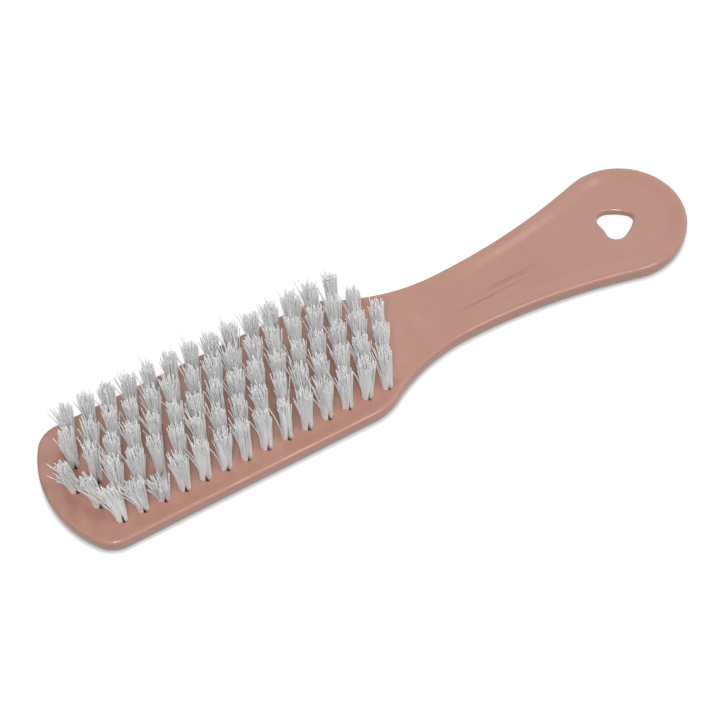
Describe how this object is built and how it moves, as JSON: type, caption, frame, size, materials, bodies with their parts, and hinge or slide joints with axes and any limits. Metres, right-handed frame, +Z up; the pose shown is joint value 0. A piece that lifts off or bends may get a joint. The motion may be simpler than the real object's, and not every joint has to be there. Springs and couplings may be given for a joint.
{
  "type": "nail brush",
  "caption": "Long-handled nail brush: dished plastic head with staggered rows of stapled bristle tufts, waisted neck and paddle handle with a heart-shaped hang hole.",
  "frame": {"origin": "middle of the overall box on the flat back of the body", "axes": "+X along the brush towards the handle's end, +Y across it, +Z up out of the bristle face"},
  "size_m": [0.179, 0.0378, 0.0198],
  "materials": {
    "body": "satin gloss",
    "anchor": "plain strip",
    "bristle": "frosted"
  },
  "bodies": {
    "root": {"brush_body": "body", "anchors_outer_front_row": "anchor", "anchors_inner_front_row": "anchor", "anchors_middle_row": "anchor", "anchors_inner_back_row": "anchor", "anchors_outer_back_row": "anchor", "bristle_column_01": "bristle", "bristle_column_02": "bristle", "bristle_column_03": "bristle", "bristle_column_04": "bristle", "bristle_column_05": "bristle", "bristle_column_06": "bristle", "bristle_column_07": "bristle", "bristle_column_08": "bristle", "bristle_column_09": "bristle", "bristle_column_10": "bristle", "bristle_column_11": "bristle", "bristle_column_12": "bristle", "bristle_column_13": "bristle", "bristle_column_14": "bristle", "bristle_column_15": "bristle", "bristle_column_16": "bristle", "bristle_column_17": "bristle", "bristle_column_18": "bristle", "bristle_column_19": "bristle", "bristle_column_20": "bristle", "bristle_column_21": "bristle", "bristle_column_22": "bristle", "bristle_column_23": "bristle", "bristle_column_24": "bristle", "bristle_column_25": "bristle", "bristle_column_26": "bristle", "bristle_column_27": "bristle", "bristle_column_28": "bristle", "bristle_column_29": "bristle", "bristle_column_30": "bristle", "bristle_column_31": "bristle"}
  },
  "joints": []
}
